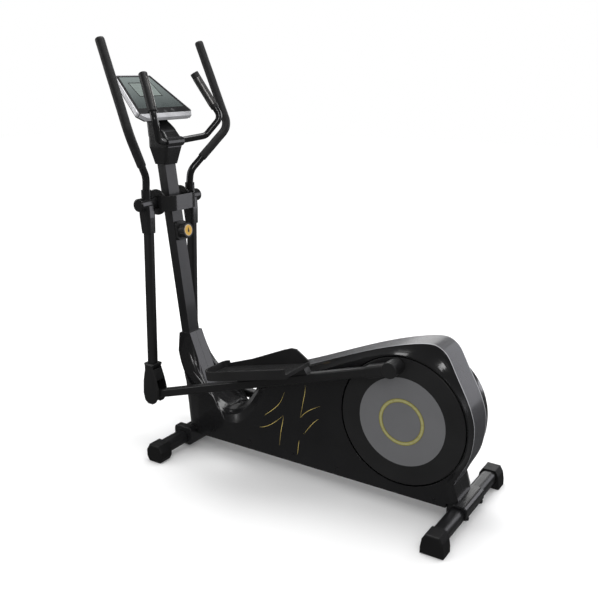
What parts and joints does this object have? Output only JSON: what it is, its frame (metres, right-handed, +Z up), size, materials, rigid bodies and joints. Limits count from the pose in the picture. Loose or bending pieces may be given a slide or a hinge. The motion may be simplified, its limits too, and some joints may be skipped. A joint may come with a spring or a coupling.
{
  "type": "elliptical trainer",
  "caption": "Elliptical trainer with swinging handlebars, pedal arms, spinning crank discs, enclosed belt drive, mast with console, fixed pulse grips and floor stabilisers.",
  "frame": {"origin": "centre of the overall box at floor level", "axes": "+X to the rear of the machine (drive end), +Y to the machine's right-hand side, +Z up"},
  "size_m": [1.5062, 0.6034, 1.6014],
  "materials": {
    "frame_black": "satin powder coat",
    "shroud_black": "semi-gloss moulded",
    "strip_weave": "fine diagonal weave, semi-gloss",
    "cover_plastic": "semi-gloss moulded",
    "cap_plastic": "fine matt texture",
    "disc_black": "satin",
    "inlay_grey": "satin",
    "ring_gold": "satin",
    "pedal_plastic": "fine matt texture",
    "foam_black": "closed-cell foam",
    "grip_plastic": "matt",
    "pulse_steel": "brushed",
    "console_silver": "silver lacquer",
    "console_glass": "glossy printed panel",
    "button_grey": "satin",
    "knob_black": "semi-gloss",
    "knob_yellow": "gloss",
    "steel_bright": "zinc plated",
    "flywheel_iron": "painted",
    "pulley_plastic": "matt",
    "belt_rubber": "ribbed",
    "brake_iron": "plated"
  },
  "bodies": {
    "base": {"axle_bearings": "steel_bright", "console_back_shell": "cover_plastic", "console_bezel": "console_silver", "console_bracket": "cover_plastic", "console_screen": "console_glass", "drive_belt": "belt_rubber", "fixed_grip_left": "grip_plastic", "fixed_grip_right": "grip_plastic", "fixed_handlebar": "frame_black", "front_end_cap_left": "cap_plastic", "front_end_cap_right": "cap_plastic", "front_foot_cover": "cover_plastic", "front_stabiliser_tube": "frame_black", "handlebar_clamp": "cover_plastic", "knob_housing": "cover_plastic", "main_frame": "frame_black", "mast_tube": "frame_black", "pivot_cover": "cover_plastic", "pivot_shaft": "steel_bright", "pulse_plates": "pulse_steel", "rear_end_cap_left": "cap_plastic", "rear_end_cap_right": "cap_plastic", "rear_saddle_cover": "cover_plastic", "rear_stabiliser_tube": "frame_black", "shroud_left": "shroud_black", "shroud_right": "shroud_black", "shroud_screws": "steel_bright", "shroud_top_strip": "strip_weave", "stabiliser_bolts": "steel_bright"},
    "crank": {"crank_axle": "steel_bright", "drive_pulley": "pulley_plastic", "crank_disc_left": "disc_black", "crank_disc_right": "disc_black", "disc_inlay_left": "inlay_grey", "disc_inlay_right": "inlay_grey", "disc_ring_left": "ring_gold", "disc_ring_right": "ring_gold"},
    "flywheel_rotor": {"flywheel": "flywheel_iron"},
    "knob": {"tension_knob": "knob_black", "knob_face": "knob_yellow"},
    "brake": {"brake_shoe": "brake_iron"},
    "left_swing_arm": {"swing_hub_left": "frame_black", "swing_lower_tube_left": "frame_black", "swing_handlebar_left": "frame_black", "swing_foam_grip_left": "foam_black", "swing_foot_boot_left": "cover_plastic"},
    "right_swing_arm": {"swing_hub_right": "frame_black", "swing_lower_tube_right": "frame_black", "swing_handlebar_right": "frame_black", "swing_foam_grip_right": "foam_black", "swing_foot_boot_right": "cover_plastic"},
    "left_pedal_arm": {"pedal_arm_left": "frame_black", "pedal_left": "pedal_plastic", "crank_pin_boot_left": "cover_plastic"},
    "right_pedal_arm": {"pedal_arm_right": "frame_black", "pedal_right": "pedal_plastic", "crank_pin_boot_right": "cover_plastic"},
    "button_1": {"console_button_1": "button_grey"},
    "button_2": {"console_button_2": "button_grey"},
    "button_3": {"console_button_3": "button_grey"}
  },
  "joints": [
    {"name": "crank_spin", "type": "hinge", "parent": "base", "child": "crank", "pos_m": [0.5011, 0, 0.335], "axis": [0, 1, 0], "continuous": true},
    {"name": "flywheel_spin", "type": "hinge", "parent": "base", "child": "flywheel_rotor", "pos_m": [0.1111, 0, 0.255], "axis": [0, 1, 0], "continuous": true},
    {"name": "left_swing", "type": "hinge", "parent": "base", "child": "left_swing_arm", "pos_m": [-0.5819, -0.128, 0.99], "axis": [0, 1, 0], "range_deg": [-12.5, 13.5]},
    {"name": "right_swing", "type": "hinge", "parent": "base", "child": "right_swing_arm", "pos_m": [-0.5819, 0.128, 0.99], "axis": [0, 1, 0], "range_deg": [-13.5, 12.5]},
    {"name": "left_pedal_hinge", "type": "hinge", "parent": "left_swing_arm", "child": "left_pedal_arm", "pos_m": [-0.5959, -0.128, 0.205], "axis": [0, 1, 0], "range_deg": [-13.5, 12.5]},
    {"name": "right_pedal_hinge", "type": "hinge", "parent": "right_swing_arm", "child": "right_pedal_arm", "pos_m": [-0.5959, 0.128, 0.205], "axis": [0, 1, 0], "range_deg": [-12.5, 13.5]},
    {"name": "knob_turn", "type": "hinge", "parent": "base", "child": "knob", "pos_m": [-0.53067, 0, 0.872], "axis": [0.991, 0, 0.1338], "range_deg": [-135, 135]},
    {"name": "brake_swing", "type": "hinge", "parent": "base", "child": "brake", "pos_m": [0.2071, 0, 0.37], "axis": [0, 1, 0], "range_deg": [-2, 2]},
    {"name": "button_1_press", "type": "slide", "parent": "base", "child": "button_1", "axis": [-0.6327, 0, -0.7744], "range_m": [0, 0.0015], "stiffness_N_per_m": 300, "springref_m": -0.001},
    {"name": "button_2_press", "type": "slide", "parent": "base", "child": "button_2", "axis": [-0.6327, 0, -0.7744], "range_m": [0, 0.0015], "stiffness_N_per_m": 300, "springref_m": -0.001},
    {"name": "button_3_press", "type": "slide", "parent": "base", "child": "button_3", "axis": [-0.6327, 0, -0.7744], "range_m": [0, 0.0015], "stiffness_N_per_m": 300, "springref_m": -0.001}
  ],
  "couplings": [
    {"joint": "flywheel_spin", "follows": "crank_spin", "ratio": 6.3},
    {"joint": "right_swing", "follows": "left_swing", "ratio": -1},
    {"joint": "left_pedal_hinge", "follows": "left_swing", "ratio": -1},
    {"joint": "right_pedal_hinge", "follows": "left_swing", "ratio": 1},
    {"joint": "brake_swing", "follows": "knob_turn", "ratio": 0.0145}
  ]
}
